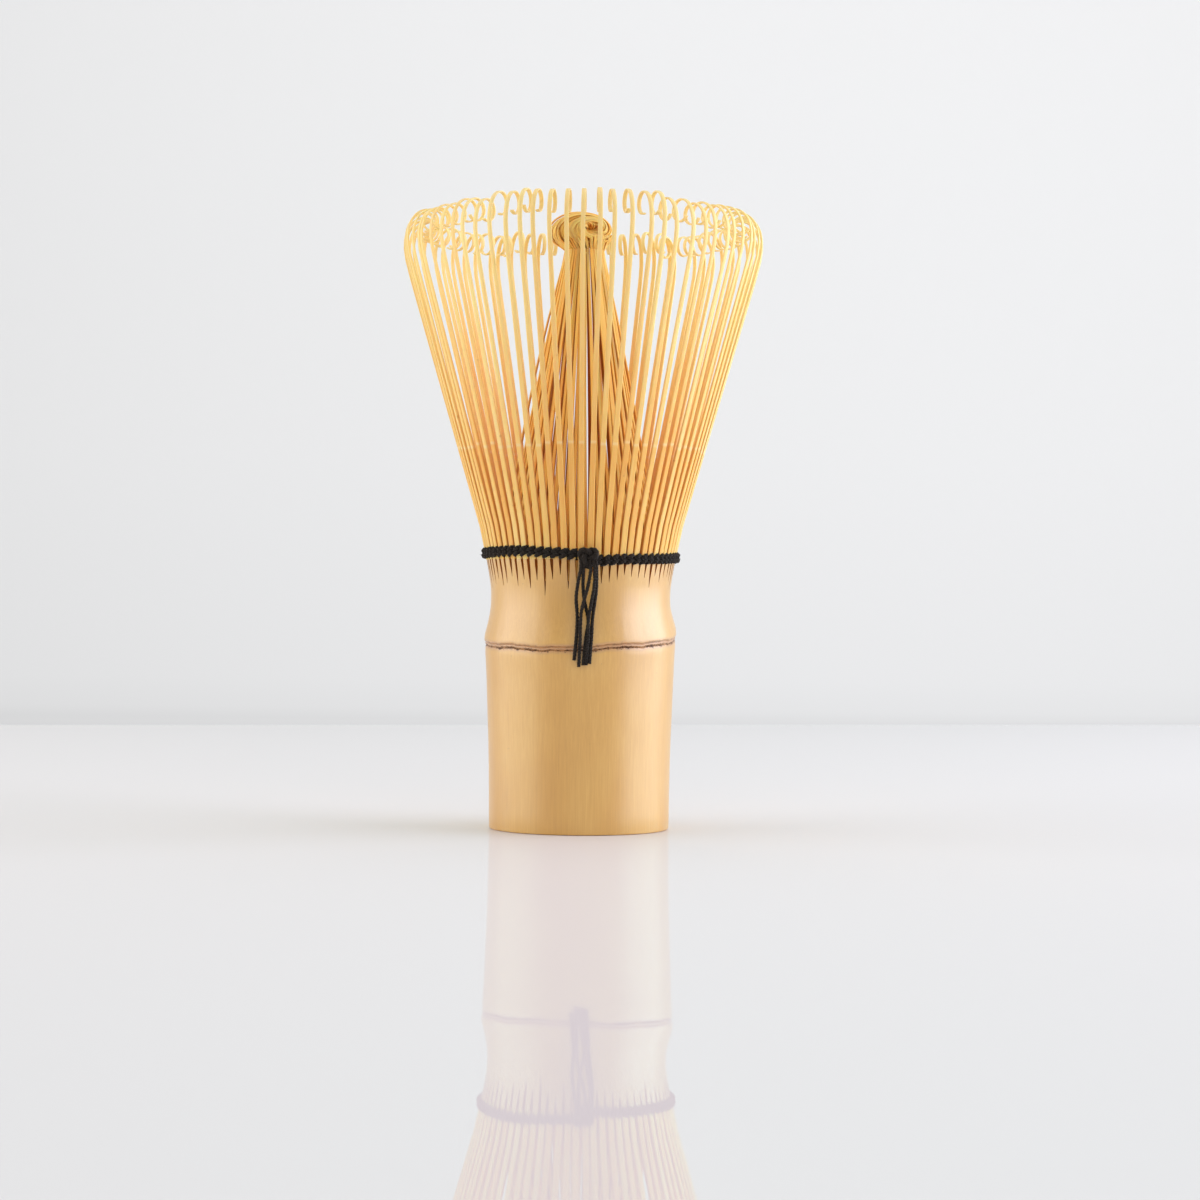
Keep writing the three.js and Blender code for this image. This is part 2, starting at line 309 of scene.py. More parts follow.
culm = lathe("culm", [point * MM for point in culm_outline()], CULM_SIDES)
scar_distance = culm.data.attributes.new("scar_distance", "FLOAT", "POINT")
for vertex, distance in zip(culm.data.vertices, scar_distance.data):
    x, y, z = vertex.co
    distance.value = z - SCAR_HEIGHT
    if math.hypot(x, y) > SKIN_RADIUS:
        nearness = 1 - eased((abs(z - SCAR_HEIGHT) / MM - 1.5) / 6)
        vertex.co.z += scar_shift(math.atan2(y, x)) * nearness

# The slits are cut by wedges, one between each two tines, no two quite alike.
rng = random.Random(11)
bpy.ops.object.select_all(action="DESELECT")
bpy.ops.mesh.primitive_cube_add(size=1, location=(WEDGE_MIDDLE, 0, 0.75), scale=(WEDGE_LENGTH, 1, 0.5))
wedge = bpy.context.object
wedge.name = "slit_wedge"
bpy.ops.object.transform_apply(location=True, scale=True)
bpy.ops.object.mode_set(mode="EDIT")
bpy.ops.mesh.select_mode(type="FACE")
bpy.ops.mesh.select_all(action="DESELECT")
mesh = bmesh.from_edit_mesh(wedge.data)
for face in mesh.faces:
    face.select_set(face.normal.z < -0.5)
bmesh.update_edit_mesh(wedge.data)
bpy.ops.transform.resize(value=(1, 0.8, 1), center_override=(WEDGE_MIDDLE, 0, 0.5))
bpy.ops.mesh.extrude_region_move(TRANSFORM_OT_translate={"value": (0, 0, -0.5)})
bpy.ops.transform.resize(value=(1, 0.1, 1), center_override=(WEDGE_MIDDLE, 0, 0))
bpy.ops.mesh.select_mode(type="VERT")
bpy.ops.object.mode_set(mode="OBJECT")
wedges = []
for index in range(TINE_COUNT):
    foot = slits + rng.uniform(-1.3, 1.1) * MM
    if rng.random() < 0.12:
        foot -= rng.uniform(1.0, 2.5) * MM
    cut = wedge.copy()
    cut.data = wedge.data.copy()
    width = rng.uniform(0.5, 0.7) * MM
    height = STUB_TOP + 0.4 * MM - foot
    turn = (index + 0.5) * PITCH + TINE_TURN + rng.uniform(-0.006, 0.006)
    lean = Matrix.Rotation(rng.uniform(-0.03, 0.03), 4, "X")
    cut.data.transform(
        Matrix.Rotation(turn, 4, "Z")
        @ Matrix.Translation((0, 0, foot))
        @ lean
        @ Matrix.Diagonal((1, width, height, 1))
    )
    bpy.context.scene.collection.objects.link(cut)
    wedges.append(cut)
bpy.data.objects.remove(wedge)
only(wedges[0])
for cut in wedges:
    cut.select_set(True)
bpy.ops.object.join()
slit_cutter = bpy.context.object
only(culm)
cutting = culm.modifiers.new("slits", "BOOLEAN")
cutting.operation = "DIFFERENCE"
cutting.solver = "EXACT"
cutting.object = slit_cutter
bpy.ops.object.modifier_apply(modifier=cutting.name)
bpy.data.objects.remove(slit_cutter)
only(culm)
bpy.ops.object.shade_smooth_by_angle(angle=math.radians(40))


def blend_colours(shade, share, low, high):
    """The colour that lies between two, by share."""
    sockets = {0: share, 6: low, 7: high}
    return shade.node("ShaderNodeMix", {"data_type": "RGBA"}, sockets, output=2)


def colour(red, green, blue):
    """A colour given as a painter reads it off a chart, 0 to 255, as light."""
    return tuple(((part / 255 + 0.055) / 1.055) ** 2.4 for part in (red, green, blue)) + (1,)


def noise(shade, where, scale, detail=3.0, roughness=0.5):
    sockets = {"Vector": where, "Scale": scale, "Detail": detail, "Roughness": roughness}
    return shade.node("ShaderNodeTexNoise", {}, sockets)


def stretched(shade, where, across, along):
    """Coordinates in which a pattern runs with the fibres."""
    return shade.node(
        "ShaderNodeMapping", {"vector_type": "POINT"}, {"Vector": where, "Scale": (across, across, along)}
    )


def marked(shade, name):
    """The value that the mesh itself carries under a name."""
    return shade.node("ShaderNodeAttribute", {"attribute_name": name}, output="Fac")


def grained(shade, tone, spread, dark, plain, pale):
    """The colour of wood, from its dark grain to its pale one."""
    return ramped(shade, tone, (0.5 - spread, dark), (0.5, plain), (0.5 + spread, pale))


def roughen(shade, surface, pattern, strength, depth):
    """Lets a pattern stand out of the surface a little."""
    sockets = {"Height": pattern, "Strength": strength, "Distance": depth}
    feed(surface, "Normal", shade.node("ShaderNodeBump", {}, sockets))


culm_skin, shade, surface = new_finish("culm_skin", Coat_Roughness=0.36, Coat_IOR=1.8)
surface.inputs["Specular IOR Level"].default_value = 0.55
where = shade.node("ShaderNodeTexCoord", output="Object")
streaks = noise(shade, stretched(shade, where, 1, 0.02), 4200, 3, 0.6)
fine = noise(shade, stretched(shade, where, 1, 0.012), 15000, 2)
clouds = noise(shade, stretched(shade, where, 1, 0.45), 120, 3)
tone = streaks * 0.35 + clouds * 0.4 + fine * 0.25
skin = grained(shade, tone, 0.2, colour(208, 150, 58), colour(220, 165, 71), colour(232, 183, 92))
distance = marked(shade, "scar_distance")
ragged = noise(shade, where, 1500, 5, 0.85)
wander = (ragged - 0.5) * (2.0 * MM)
bites = noise(shade, stretched(shade, where, 1, 0.6), 650, 5, 0.8)
from_scar = shade.math("ABSOLUTE", distance + 0.3 * MM)
halo = ramped(shade, from_scar * (1 / (1.0 * MM)), (0.35, 0.75), (1.0, 0.0))
skin = blend_colours(shade, halo, skin, colour(190, 136, 92))
# The scar is two dark lines, bitten into: the place of each, its half width and its strength.
for place, width, strength in ((0.08, 0.13, 0.55), (-0.56, 0.27, 1.0)):
    off = shade.math("ABSOLUTE", distance + wander - place * MM)
    line = ramped(shade, off * (1 / (width * MM)), (0.35, 1.0), (1.0, 0.0))
    weight = line * ramped(shade, bites, (0.45, 0.1), (0.55, 1.0)) * strength
    skin = blend_colours(shade, weight, skin, colour(84, 46, 25))
specks = ramped(shade, noise(shade, where, 900, 2, 0.6), (0.74, 0.0), (0.79, 0.55))
skin = blend_colours(shade, specks, skin, colour(150, 98, 52))
sideways, backwards, upwards = (
    shade.node("ShaderNodeSeparateXYZ", {}, {"Vector": where}, output=axis) for axis in "XYZ"
)
from_axis = shade.math("SQRT", sideways * sideways + backwards * backwards)
# The pared inside of the culm is browner: partly the inner wood's own colour, partly painted shade where it
# lies deep behind the slits.
inside = ramped(shade, (15.15 * MM - from_axis) * (1 / (0.7 * MM)), (0.0, 0.0), (1.0, 1.0))
inside = inside * ramped(shade, (upwards - CUP_FLOOR) * (1 / (4 * MM)), (0.0, 0.3), (1.0, 1.0))
skin = blend_colours(shade, inside * 0.85, skin, colour(206, 128, 50))
facing = shade.node("ShaderNodeTexCoord", output="Normal")
outwards = shade.node("ShaderNodeVectorMath", {"operation": "MULTIPLY"}, {0: where, 1: (1, 1, 0)})
outwards = shade.node("ShaderNodeVectorMath", {"operation": "NORMALIZE"}, {0: outwards})
both_ways = {0: outwards, 1: facing}
skinwards = shade.node("ShaderNodeVectorMath", {"operation": "DOT_PRODUCT"}, both_ways, output="Value")
# The slit walls are browner: partly the cut wood's own colour, partly painted shade in the narrow slits.
slit_wall_shade = ramped(shade, shade.math("ABSOLUTE", skinwards), (0.35, 1.0), (0.7, 0.0))
above = ramped(shade, (upwards - SLITS_BOTTOM) * (1 / (2 * MM)), (0.0, 0.0), (1.0, 1.0))
slit_wall_shade = slit_wall_shade * above
skin = blend_colours(shade, slit_wall_shade, skin, colour(182, 108, 38))
feed(surface, "Base Color", skin)
# Only the bamboo's own skin is waxy, so the inside, the cuts and the scar have no gloss.
bare = shade.math("MAXIMUM", inside, shade.math("MAXIMUM", slit_wall_shade, weight))
feed(surface, "Coat Weight", 1 - bare)
feed(surface, "Roughness", 0.36 + streaks * 0.16)
roughen(shade, surface, streaks + fine, 0.12, 0.05 * MM)
culm.data.materials.clear()
culm.data.materials.append(culm_skin)
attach(culm, "culm")
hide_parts("handle")

# ---- The outer tines --------------------------------------------------------------------------------------
# Strips of the culm's own wall, split, pared to a taper and rounded at the edges, flared over a hot form and
# curled inwards at the tip. A pale line crosses them where the paring starts. They come in a few kinds of
# curl, and each is leant, turned and tinted in its own way.
ROOT_TILT = math.radians(6)
FLARE_TILT = math.radians(16)
FLARE_LENGTH = 10 * MM
STRAIGHT_END = 47 * MM
CURL_LENGTH = 21 * MM
PARING_START = 19.3 * MM
TINE_ROOT = 45.6 * MM
TILT_AT_ROOT = math.radians(8)
TINE_KINDS = 16
SHORTER = 0.9 * MM
# A curve is walked in short steps, with a station at each such turn or length.
WALK = 0.02 * MM
STATION_TURN = math.radians(11)
STATION_LENGTH = 9 * MM


def face_tilt(along):
    """How far a tine leans outwards, below its curl."""
    share = min(1, along / FLARE_LENGTH)
    return ROOT_TILT + (FLARE_TILT - ROOT_TILT) * share * (2 - share)


def face_radius(height):
    """How far from the axis the tines' faces are, near the thread."""
    along, radius, reached = 0.0, ROOT_RADIUS, slits
    while reached < height:
        radius += math.sin(face_tilt(along)) * WALK
        reached += math.cos(face_tilt(along)) * WALK
        along += WALK
    return radius


def tine_stations(tightening, curl_radius, curl_end, shorter):
    """Stations up a tine's face, each its length from the root and the tilt there."""
    along = (TINE_ROOT - slits) / math.cos(TILT_AT_ROOT)
    tilt, length, last_tilt, last_length = face_tilt(along), 0.0, None, 0.0
    stations = []
    while tilt > curl_end:
        turned = 1 if last_tilt is None else abs(tilt - last_tilt) / STATION_TURN
        if turned + (length - last_length) / STATION_LENGTH >= 1:
            stations.append((length, tilt))
            last_tilt, last_length = tilt, length
        if along < STRAIGHT_END - shorter:
            tilt = face_tilt(along)
        else:
            share = min(1, (along + shorter - STRAIGHT_END) / CURL_LENGTH)
            tilt -= share**tightening / curl_radius * WALK
        along += WALK
        length += WALK
    return stations + [(length, tilt)]


def straight_strip(name, stations, rounding):
    """An upright strip, its face on x = 0. A station is its length from the root, width and thickness."""
    length, width, thickness = stations[0]
    bpy.ops.object.select_all(action="DESELECT")
    bpy.ops.mesh.primitive_plane_add(size=1)
    strip = bpy.context.object
    strip.name = name
    bpy.ops.object.mode_set(mode="EDIT")
    bpy.ops.transform.resize(value=(thickness, width, 1))
    bpy.ops.transform.translate(value=(-thickness / 2, 0, 0))
    bpy.ops.mesh.bevel(offset=rounding, segments=1, affect="VERTICES")
    for next_length, next_width, next_thickness in stations[1:]:
        bpy.ops.mesh.extrude_region_move(TRANSFORM_OT_translate={"value": (0, 0, next_length - length)})
        shrink = (next_thickness / thickness, next_width / width, 1)
        bpy.ops.transform.resize(value=shrink, center_override=(0, 0, next_length))
        length, width, thickness = next_length, next_width, next_thickness
    bpy.ops.mesh.select_all(action="SELECT")
    bpy.ops.mesh.normals_make_consistent(inside=False)
    bpy.ops.object.mode_set(mode="OBJECT")
    for attribute, values in (
        ("along", [vertex.co.z for vertex in strip.data.vertices]),
        ("across", [vertex.co.y for vertex in strip.data.vertices]),
        ("depth", [-vertex.co.x for vertex in strip.data.vertices]),
    ):
        strip.data.attributes.new(attribute, "FLOAT", "POINT").data.foreach_set("value", values)
    return strip


def bend_strip(strip, bends):
    """Turns all above each length, from root to tip: outwards by one angle and sideways by another."""
    lengths = [vertex.co.z for vertex in strip.data.vertices]
    only(strip)
    bpy.ops.object.mode_set(mode="EDIT")
    mesh = bmesh.from_edit_mesh(strip.data)
    pivot = Vector((0, 0, 0))
    upwards = Vector((0, 0, 1))
    reached = 0.0
    for length, outwards, sideways in bends:
        pivot += upwards * (length - reached)
        reached = length
        for vertex in mesh.verts:
            vertex.select_set(lengths[vertex.index] > length - 1e-6)
        mesh.select_flush_mode()
        bmesh.update_edit_mesh(strip.data)
        bpy.ops.transform.rotate(value=-outwards, orient_axis="Y", center_override=pivot)
        bpy.ops.transform.rotate(value=-sideways, orient_axis="X", center_override=pivot)
        upwards = Matrix.Rotation(outwards, 3, "Y") @ upwards
        upwards = Matrix.Rotation(sideways, 3, "X") @ upwards
    bpy.ops.object.mode_set(mode="OBJECT")


def placed_copy(pattern, name, placing, tint):
    """A copy with its own mesh, put in its place, with its own shade of bamboo."""
    piece = pattern.copy()
    piece.name = name
    piece.data = pattern.data.copy()
    piece.data.transform(placing)
    values = [tint] * len(piece.data.vertices)
    piece.data.attributes.new("tint", "FLOAT", "POINT").data.foreach_set("value", values)
    bpy.context.scene.collection.objects.link(piece)
    return piece


def joined(pieces, name):
    only(pieces[0])
    for piece in pieces:
        piece.select_set(True)
    bpy.ops.object.join()
    whole = bpy.context.object
    whole.name = name
    bpy.ops.object.shade_smooth_by_angle(angle=math.radians(35))
    return whole


tine_skin, shade, surface = new_finish("tine_skin", Subsurface_Weight=0.55, Subsurface_Scale=0.8 * MM)
surface.inputs["Subsurface Radius"].default_value = (1, 0.75, 0.4)
surface.inputs["Specular IOR Level"].default_value = 0.4
along, across, depth, tint = (marked(shade, name) for name in ("along", "across", "depth", "tint"))


def fibre_place(shade, along, across, tint, stretch):
    """Where a point is in the fibres: the pattern runs along the strip, and each strip has its own."""
    return shade.node(
        "ShaderNodeCombineXYZ", {}, {"X": across + tint * 0.37, "Y": tint * 0.11, "Z": along * stretch}
    )


streaks = noise(shade, fibre_place(shade, along, across, tint, 0.03), 5200, 2)
patches = noise(shade, fibre_place(shade, along, across, tint, 0.6), 160, 3)
tone = streaks * 0.4 + patches * 0.25 + tint * 0.35
low_tone = grained(shade, tone, 0.25, colour(240, 180, 92), colour(249, 196, 110), colour(254, 213, 136))
high_tone = grained(shade, tone, 0.25, colour(245, 187, 101), colour(253, 204, 122), colour(255, 220, 150))
edge = along + (patches - 0.5) * (0.6 * MM) + (tint - 0.5) * (0.8 * MM) - PARING_START
above = ramped(shade, edge * (1 / (3 * MM)) + 0.5, (0.3, 0.0), (0.7, 1.0))
wood = blend_colours(shade, above, low_tone, high_tone)
skived = ramped(shade, shade.math("ABSOLUTE", edge) * (1 / (0.4 * MM)), (0.2, 0.4), (1.0, 0.0))
wood = blend_colours(shade, skived, wood, colour(250, 226, 180))
spots = noise(shade, fibre_place(shade, along, across, tint, 0.4), 1500, 2)
wood = blend_colours(shade, ramped(shade, spots, (0.72, 0.0), (0.78, 0.4)), wood, colour(160, 104, 52))
# Painted shade: the split sides of the tines are darkened, most near the root, where the tines stand close
# together.
split_side_shade = ramped(shade, depth * (1 / (0.75 * MM)), (0.1, 0.0), (0.22, 1.0), (0.8, 1.0), (0.98, 0.0))
split_side_shade = split_side_shade * ramped(shade, along * (1 / (50 * MM)), (0.0, 0.8), (0.5, 0.3), (1.0, 0.05))
wood = blend_colours(shade, split_side_shade, wood, colour(192, 120, 50))
# Painted light: the tines pale towards their thin tips, as if lit through from behind.
tip_glow = ramped(shade, along * (1 / (72 * MM)), (0.3, 0.0), (0.8, 0.6), (1.0, 0.8))
wood = blend_colours(shade, tip_glow, wood, colour(255, 226, 165))
feed(surface, "Base Color", wood)
feed(surface, "Roughness", 0.38 + streaks * 0.2)
roughen(shade, surface, streaks, 0.15, 0.04 * MM)


def stray(rng, degrees):
    """A small chance turn, mostly within some degrees of none."""
    return math.radians(rng.gauss(0, degrees))


# The second half of the kinds is a little shorter, for the left and the right of the whisk.
rng = random.Random(23)
tine_kinds = []
for kind in range(TINE_KINDS):
    turn_end = math.radians(-rng.uniform(285, 345))
    shorter = SHORTER if kind >= TINE_KINDS // 2 else 0.0
    stations = tine_stations(rng.uniform(3.15, 3.35), rng.uniform(1.8, 1.98) * MM, turn_end, shorter)
    whole = stations[-1][0]
    profile = []
    for length, _ in stations:
        share = length / whole
        width = 1.08 - 0.14 * eased(share / 0.35) - 0.28 * share
        thickness = 0.78 - 0.22 * eased(share / 0.4) - 0.3 * share
        profile.append((length, width * MM, thickness * MM))
    strip = straight_strip(f"tine_kind_{kind}", profile, 0.12 * MM)
    bends = []
    was = 0.0
    drift = rng.uniform(-0.2, 0.2)
    for length, tilt in stations[:-1]:
        sideways = stray(rng, 0.07)
        if length > 0.75 * whole:
            sideways += math.radians(drift)
        bends.append((length, tilt - was, sideways))
        was = tilt
    bend_strip(strip, bends)
    strip.data.materials.append(tine_skin)
    tine_kinds.append(strip)

for number in range(1, 25):
    tines = []
    for place in (-1, 0, 1):
        azimuth = (number - 1) * 3 * PITCH + place * PITCH + TINE_TURN + stray(rng, 0.25)
        lean = Matrix.Rotation(stray(rng, 0.17), 4, "X")
        pitch = Matrix.Rotation(stray(rng, 0.14), 4, "Y")
        roll = Matrix.Rotation(stray(rng, 1.2), 4, "Z")
        radius = face_radius(TINE_ROOT) + rng.uniform(0.04, 0.13) * MM
        turn = Matrix.Rotation(azimuth, 4, "Z")
        placing = turn @ Matrix.Translation((radius, 0, TINE_ROOT)) @ lean @ pitch @ roll
        kind = rng.randrange(TINE_KINDS // 2)
        if abs(math.cos(azimuth)) > 0.5:
            kind += TINE_KINDS // 2
        tines.append(placed_copy(tine_kinds[kind], "tine", placing, rng.random()))
    trio = joined(tines, f"tine_trio_{number:02d}")
    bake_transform(trio)
    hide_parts(f"outer_tines_{number:02d}")
for strip in tine_kinds:
    bpy.data.objects.remove(strip)

# ---- The inner tines --------------------------------------------------------------------------------------
# The inner layer of the same wall, split finer and pressed inwards, so that its strips stand as a cone
# inside the outer tines. They are thin, browner than the skin, and not evenly spaced.
CONE_ROOT = Vector((15.0, 0, 42.0)) * MM
CONE_TIP_RADIUS = 3.5 * MM
CONE_LEAN = 0.15 * MM
CONE_TIP = 98.4 * MM
CONE_TURN = math.radians(16.2)
STRAY_START = 50 * MM
INNER_KINDS = 6

inner_wood, shade, surface = new_finish("inner_wood", Subsurface_Weight=0.45, Subsurface_Scale=0.5 * MM)
surface.inputs["Subsurface Radius"].default_value = (1, 0.7, 0.35)
surface.inputs["Specular IOR Level"].default_value = 0.35
along, across, depth, tint = (marked(shade, name) for name in ("along", "across", "depth", "tint"))
streaks = noise(shade, fibre_place(shade, along, across, tint, 0.03), 6500, 2)
patches = noise(shade, fibre_place(shade, along, across, tint, 0.6), 200, 3)
tone = streaks * 0.45 + patches * 0.2 + tint * 0.35
wood = grained(shade, tone, 0.25, colour(246, 172, 74), colour(254, 195, 96), colour(255, 215, 126))
# Painted shade: the sides and backs of the inner strips, and of the tips in the bun, are darkened.
side_shade = ramped(shade, depth * (1 / (0.5 * MM)), (0.15, 0.0), (0.45, 1.0)) * 0.65
wood = blend_colours(shade, side_shade, wood, colour(186, 100, 30))
feed(surface, "Base Color", wood)
feed(surface, "Roughness", 0.45 + streaks * 0.2)
roughen(shade, surface, streaks, 0.2, 0.04 * MM)

rng = random.Random(5)
cone_foot = ((15.0, 42.0), (14.4, 44.5), (13.6, 46.5), (13.2, 48.2), (12.35, 53))
cone_line = smooth_line([Vector((x, 0, z)) * MM for x, z in cone_foot], 2)
for step in range(1, 9):
    share = step / 8
    cone_line.append(cone_line[8].lerp(Vector((CONE_TIP_RADIUS, 0, CONE_TIP)), share))
inner_kinds = []
for kind in range(INNER_KINDS):
    profile = []
    length = 0.0
    for i, point in enumerate(cone_line):
        if i:
            length += (point - cone_line[i - 1]).length
        share = length / (CONE_TIP - CONE_ROOT.z)
        width = 1.0 - 0.42 * eased(share / 0.42) - 0.14 * share + 0.03 * math.sin(kind * 2 + share * 5)
        profile.append((length, width * MM, (0.55 - 0.24 * share) * MM))
    strip = straight_strip(f"inner_kind_{kind}", profile, 0.09 * MM)
    bends = []
    was = 0.0
    for i in range(len(cone_line) - 1):
        step = cone_line[i + 1] - cone_line[i]
        tilt = math.atan2(step.x, step.z)
        bends.append((profile[i][0], tilt - was, 0.0))
        was = tilt
    bend_strip(strip, bends)
    strip.data.materials.append(inner_wood)
    inner_kinds.append(strip)


def inner_drift(seed, share):
    """How a strip strays sideways, in radians, and inwards, on its way up the cone."""
    stray = random.Random(seed)
    swing, middle, top = stray.gauss(0, 1), stray.gauss(0, 1), stray.gauss(0, 1)
    turn = math.radians(swing * 0.8 * math.sin(math.pi * share) + top * 2.6 * share**2)
    return turn, middle * 0.35 * MM * math.sin(math.pi * share) - stray.random() * 0.35 * MM * share


tip_starts = []
for number in range(1, 13):
    strips = []
    for place in range(6):
        index = (number - 1) * 6 + place
        azimuth = (index - 2.5) * PITCH + CONE_TURN + stray(rng, 0.35)
        placing = Matrix.Translation(CONE_ROOT)
        tint_value = rng.random()
        strip = placed_copy(inner_kinds[rng.randrange(INNER_KINDS)], "inner_tine", placing, tint_value)
        for vertex in strip.data.vertices:
            share = max(0, (vertex.co.z - STRAY_START) / (CONE_TIP - STRAY_START))
            turn, inwards = inner_drift(index, share)
            x = vertex.co.x + inwards
            turned = Matrix.Rotation(azimuth + turn, 3, "Z") @ Vector((x, vertex.co.y, vertex.co.z))
            vertex.co = turned + Vector((CONE_LEAN * share**2, 0, 0))
        turn, inwards = inner_drift(index, 1)
        tip_starts.append((azimuth + turn, CONE_TIP_RADIUS + inwards, tint_value))
        strips.append(strip)
    bundle = joined(strips, f"inner_tine_bundle_{number:02d}")
    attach(bundle, "culm")
    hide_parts(f"inner_tines_{number:02d}")
for strip in inner_kinds:
    bpy.data.objects.remove(strip)

# ---- The knot of tips -------------------------------------------------------------------------------------
# The tips of the inner tines, softened in hot water and wound round each other into a bun. They run round
# its dark eye, which faces the front, to the right. They lie over each other, so they are swept one by one.
KNOT_MIDDLE = Vector((-0.45, 0, 101.7)) * MM
KNOT_HALF = Vector((4.85, 4.6, 2.75)) * MM
KNOT_EYE = Vector((0.5, -0.86, 0.03)).normalized()
KNOT_RIGHT = Vector((0, 0, 1)).cross(KNOT_EYE).normalized()
KNOT_UP = KNOT_EYE.cross(KNOT_RIGHT)
TIP_THICKNESS = 0.3 * MM
PLUG_STRIPS = 17
WOUND_STRIPS = 24


def swept(name, runs, section):
    """A mesh of strips or yarns. A run is a list of stations, each its middle, the ways out and sideways,
    width, thickness, length and tint. The section goes round a strip, in shares of width and thickness."""
    around = len(section)
    points, faces = [], []
    values = {"along": [], "across": [], "depth": [], "tint": []}
    for run in runs:
        first = len(points)
        for middle, out, side, width, thickness, length, tint in run:
            for across, outwards in section:
                points.append(middle + side * (across * width) + out * (outwards * thickness))
                values["along"].append(length)
                values["across"].append(across * width)
                values["depth"].append((0.5 - outwards) * thickness)
                values["tint"].append(tint)
        for ring in range(len(run) - 1):
            low = first + ring * around
            for i in range(around):
                j = (i + 1) % around
                faces.append((low + i, low + j, low + around + j, low + around + i))
        faces.append(tuple(first + i for i in reversed(range(around))))
        faces.append(tuple(len(points) - around + i for i in range(around)))
    mesh = bpy.data.meshes.new(name)
    mesh.from_pydata(points, [], faces)
    for attribute, numbers in values.items():
        mesh.attributes.new(attribute, "FLOAT", "POINT").data.foreach_set("value", numbers)
    piece = bpy.data.objects.new(name, mesh)
    bpy.context.scene.collection.objects.link(piece)
    only(piece)
    bpy.ops.object.mode_set(mode="EDIT")
    bpy.ops.mesh.select_all(action="SELECT")
    bpy.ops.mesh.normals_make_consistent(inside=False)
    bpy.ops.object.mode_set(mode="OBJECT")
    bpy.ops.object.shade_smooth_by_angle(angle=math.radians(50))
    return piece


def knot_point(direction, lift):
    """The point of the bun's surface in a direction from its middle, lifted a little."""
    return KNOT_MIDDLE + Vector([part * (half + lift) for part, half in zip(direction, KNOT_HALF)])


rng = random.Random(41)
tip_runs = []
for azimuth, radius, tint_value in tip_starts:
    start = Vector((radius * math.cos(azimuth) + CONE_LEAN, radius * math.sin(azimuth), CONE_TIP))
    # Where the strip joins the bun, told from the eye: how far from it, and on which side.
    joining = math.radians(126 - 22 * max(0, math.cos(azimuth)))
    join = Vector(
        (math.sin(joining) * math.cos(azimuth), math.sin(joining) * math.sin(azimuth), math.cos(joining))
    )
    from_eye = math.acos(max(-1, min(1, join.dot(KNOT_EYE))))
    side_of_eye = math.atan2(join.dot(KNOT_UP), join.dot(KNOT_RIGHT))
    turn = math.radians(rng.uniform(200, 400) + 30 * math.sin(5 * azimuth))
    last_from_eye = math.radians(rng.uniform(22, 34))
    lift = (rng.uniform(-0.3, 0.25) + 0.3 * math.sin(5 * azimuth + 1)) * MM
    line = [start]
    for step in range(25):
        share = step / 20
        rho = from_eye + (last_from_eye - from_eye) * eased(share) ** 0.9
        tucked = max(0, share - 0.9) / 0.3
        rho -= math.radians(14) * tucked
        alpha = side_of_eye - turn * share**1.25
        direction = KNOT_EYE * math.cos(rho) + (
            KNOT_RIGHT * math.cos(alpha) + KNOT_UP * math.sin(alpha)
        ) * math.sin(rho)
        sink = (0.3 - 0.75 * min(1, share) - 2.9 * eased(tucked)) * MM
        line.append(knot_point(direction, lift + sink))
    line = smooth_line(line, 2)
    run = []
    length = CONE_TIP - CONE_ROOT.z
    for i, middle in enumerate(line):
        ahead = line[min(i + 1, len(line) - 1)] - line[max(i - 1, 0)]
        out = middle - KNOT_MIDDLE
        out = Vector((out.x, out.y, out.z * 1.5))
        if i == 0:
            ahead = Vector((-math.cos(azimuth) * 0.15, -math.sin(azimuth) * 0.15, 1))
            out = Vector((math.cos(azimuth), math.sin(azimuth), 0))
        side = ahead.cross(out).normalized()
        out = side.cross(ahead).normalized()
        if i:
            length += (middle - line[i - 1]).length
        share = i / (len(line) - 1)
        run.append((middle, out, side, (0.34 + 0.08 * share) * MM, TIP_THICKNESS, length, tint_value))
    tip_runs.append(run)
# Some tips are pushed back through the middle, which closes the eye from behind.
for number in range(PLUG_STRIPS):
    run = []
    for step in range(9):
        share = step / 4 - 1
        across = KNOT_RIGHT * (number - 8 + 0.8 * share) * 0.33
        across += KNOT_EYE * (0.5 * math.cos(number * 2) - 0.2)
        middle = KNOT_MIDDLE + (across + KNOT_UP * 2.3 * share) * MM
        length = (60 + 2 * share) * MM
        run.append((middle, KNOT_EYE, KNOT_RIGHT, 0.42 * MM, TIP_THICKNESS, length, rng.random() * 0.5))
    tip_runs.append(run)
# The longest tips are wound flat round the back and the top, and their ends are pushed under the others.
for number in range(WOUND_STRIPS):
    line = []
    tilt = math.radians(-46 + 5.4 * number)
    wave = rng.uniform(0, math.tau)
    for step in range(17):
        share = step / 8 - 1
        around = math.radians(100) * share
        rise = tilt + math.radians(5) * math.sin(2 * share + wave) + math.radians(7) * share
        direction = (KNOT_RIGHT * math.sin(around) - KNOT_EYE * math.cos(around)) * math.cos(rise)
        direction += KNOT_UP * math.sin(rise)
        lift = (0.15 - 1.1 * share**4 + 0.15 * math.sin(number * 2.3)) * MM
        line.append(knot_point(direction, lift))
    line = smooth_line(line, 2)
    run = []
    for i, middle in enumerate(line):
        ahead = line[min(i + 1, len(line) - 1)] - line[max(i - 1, 0)]
        out = middle - KNOT_MIDDLE
        side = ahead.cross(out).normalized()
        out = side.cross(ahead).normalized()
        run.append((middle, out, side, 0.44 * MM, TIP_THICKNESS, (60 + 0.3 * i) * MM, wave / 9))
    tip_runs.append(run)
STRIP_SECTION = [
    (-0.5, -0.3), (-0.5, 0.3), (-0.3, 0.5), (0.3, 0.5), (0.5, 0.3), (0.5, -0.3), (0.3, -0.5), (-0.3, -0.5)
]
tip_knot = swept("tip_knot", tip_runs, STRIP_SECTION)
tip_knot.data.materials.append(inner_wood)
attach(tip_knot, "culm")
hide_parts("inner_tip_knot")

